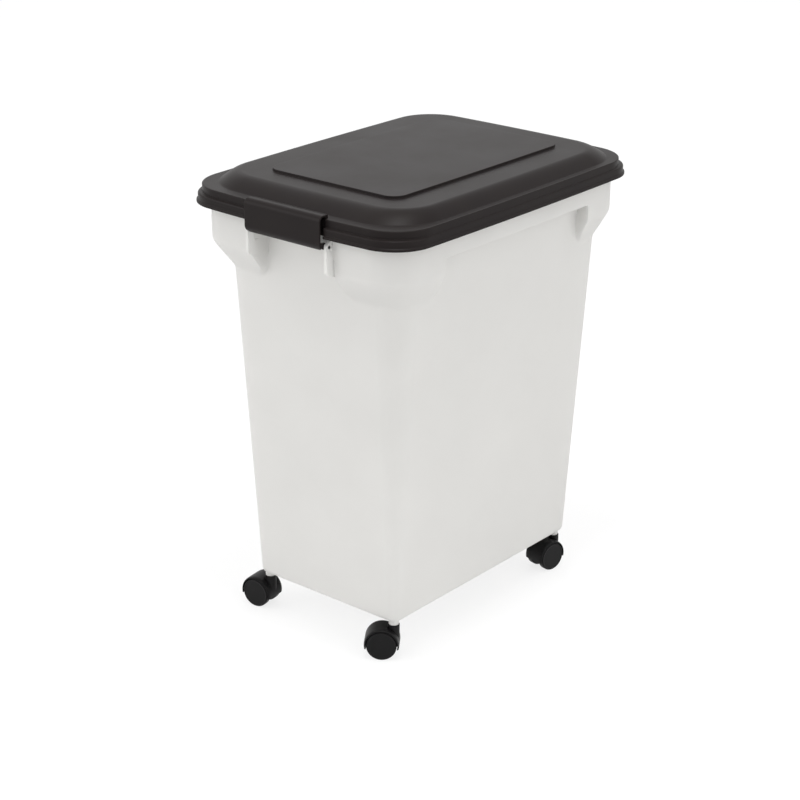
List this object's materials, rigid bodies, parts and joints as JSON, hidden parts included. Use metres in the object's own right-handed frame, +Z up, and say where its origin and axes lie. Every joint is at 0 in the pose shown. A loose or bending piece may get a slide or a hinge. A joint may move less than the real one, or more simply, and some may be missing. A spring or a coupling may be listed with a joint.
{
  "type": "rice bin with flip lid",
  "caption": "Tall tapered translucent food bin on swivel casters with a domed dark flip lid, stepped skirt and front snap latch.",
  "frame": {"origin": "centre of the assembly's footprint on the floor, under the wheels", "axes": "+Z up, the longest extent; -Y is the front with the latch; +X is to the right of a person facing the front and is the shortest extent"},
  "size_m": [0.3508, 0.4916, 0.585],
  "materials": {
    "milky_polypropylene": "satin moulded, slightly translucent",
    "charcoal_polypropylene": "satin moulded",
    "black_nylon": "satin moulded",
    "seal_rubber": "matte",
    "steel": "bright zinc"
  },
  "bodies": {
    "bin": {"bin_body": "milky_polypropylene", "latch_pins": "steel", "lid_hinge_pins": "steel", "front_right_caster_stem": "steel", "front_right_caster_grip_ring": "steel", "front_left_caster_stem": "steel", "front_left_caster_grip_ring": "steel", "back_right_caster_stem": "steel", "back_right_caster_grip_ring": "steel", "back_left_caster_stem": "steel", "back_left_caster_grip_ring": "steel"},
    "lid": {"lid": "charcoal_polypropylene", "lid_gasket": "seal_rubber"},
    "latch": {"latch": "charcoal_polypropylene"},
    "front_right_caster_swivel": {"front_right_caster_hood": "black_nylon", "front_right_caster_axle": "steel"},
    "front_right_caster_left_wheel_body": {"front_right_caster_left_wheel": "black_nylon"},
    "front_right_caster_right_wheel_body": {"front_right_caster_right_wheel": "black_nylon"},
    "front_left_caster_swivel": {"front_left_caster_hood": "black_nylon", "front_left_caster_axle": "steel"},
    "front_left_caster_left_wheel_body": {"front_left_caster_left_wheel": "black_nylon"},
    "front_left_caster_right_wheel_body": {"front_left_caster_right_wheel": "black_nylon"},
    "back_right_caster_swivel": {"back_right_caster_hood": "black_nylon", "back_right_caster_axle": "steel"},
    "back_right_caster_left_wheel_body": {"back_right_caster_left_wheel": "black_nylon"},
    "back_right_caster_right_wheel_body": {"back_right_caster_right_wheel": "black_nylon"},
    "back_left_caster_swivel": {"back_left_caster_hood": "black_nylon", "back_left_caster_axle": "steel"},
    "back_left_caster_left_wheel_body": {"back_left_caster_left_wheel": "black_nylon"},
    "back_left_caster_right_wheel_body": {"back_left_caster_right_wheel": "black_nylon"}
  },
  "joints": [
    {"name": "lid_hinge", "type": "hinge", "parent": "bin", "child": "lid", "pos_m": [0, 0.243, 0.553], "axis": [-1, 0, 0], "range_deg": [0, 105]},
    {"name": "latch_hinge", "type": "hinge", "parent": "bin", "child": "latch", "pos_m": [0, -0.233, 0.5363], "axis": [1, 0, 0], "range_deg": [0, 90]},
    {"name": "front_right_caster_swivel_turn", "type": "hinge", "parent": "bin", "child": "front_right_caster_swivel", "pos_m": [0.104, -0.167, 0.044], "axis": [0, 0, 1], "continuous": true},
    {"name": "front_right_caster_left_wheel_spin", "type": "hinge", "parent": "front_right_caster_swivel", "child": "front_right_caster_left_wheel_body", "pos_m": [0.09227, -0.17552, 0.019], "axis": [0.5878, -0.809, 0], "continuous": true},
    {"name": "front_right_caster_right_wheel_spin", "type": "hinge", "parent": "front_right_caster_swivel", "child": "front_right_caster_right_wheel_body", "pos_m": [0.09227, -0.17552, 0.019], "axis": [0.5878, -0.809, 0], "continuous": true},
    {"name": "front_left_caster_swivel_turn", "type": "hinge", "parent": "bin", "child": "front_left_caster_swivel", "pos_m": [-0.104, -0.167, 0.044], "axis": [0, 0, 1], "continuous": true},
    {"name": "front_left_caster_left_wheel_spin", "type": "hinge", "parent": "front_left_caster_swivel", "child": "front_left_caster_left_wheel_body", "pos_m": [-0.11839, -0.16877, 0.019], "axis": [0.1219, -0.9925, 0], "continuous": true},
    {"name": "front_left_caster_right_wheel_spin", "type": "hinge", "parent": "front_left_caster_swivel", "child": "front_left_caster_right_wheel_body", "pos_m": [-0.11839, -0.16877, 0.019], "axis": [0.1219, -0.9925, 0], "continuous": true},
    {"name": "back_right_caster_swivel_turn", "type": "hinge", "parent": "bin", "child": "back_right_caster_swivel", "pos_m": [0.104, 0.167, 0.044], "axis": [0, 0, 1], "continuous": true},
    {"name": "back_right_caster_left_wheel_spin", "type": "hinge", "parent": "back_right_caster_swivel", "child": "back_right_caster_left_wheel_body", "pos_m": [0.10148, 0.15272, 0.019], "axis": [0.9848, -0.1736, 0], "continuous": true},
    {"name": "back_right_caster_right_wheel_spin", "type": "hinge", "parent": "back_right_caster_swivel", "child": "back_right_caster_right_wheel_body", "pos_m": [0.10148, 0.15272, 0.019], "axis": [0.9848, -0.1736, 0], "continuous": true},
    {"name": "back_left_caster_swivel_turn", "type": "hinge", "parent": "bin", "child": "back_left_caster_swivel", "pos_m": [-0.104, 0.167, 0.044], "axis": [0, 0, 1], "continuous": true},
    {"name": "back_left_caster_left_wheel_spin", "type": "hinge", "parent": "back_left_caster_swivel", "child": "back_left_caster_left_wheel_body", "pos_m": [-0.11588, 0.15868, 0.019], "axis": [0.5736, -0.8192, 0], "continuous": true},
    {"name": "back_left_caster_right_wheel_spin", "type": "hinge", "parent": "back_left_caster_swivel", "child": "back_left_caster_right_wheel_body", "pos_m": [-0.11588, 0.15868, 0.019], "axis": [0.5736, -0.8192, 0], "continuous": true}
  ]
}
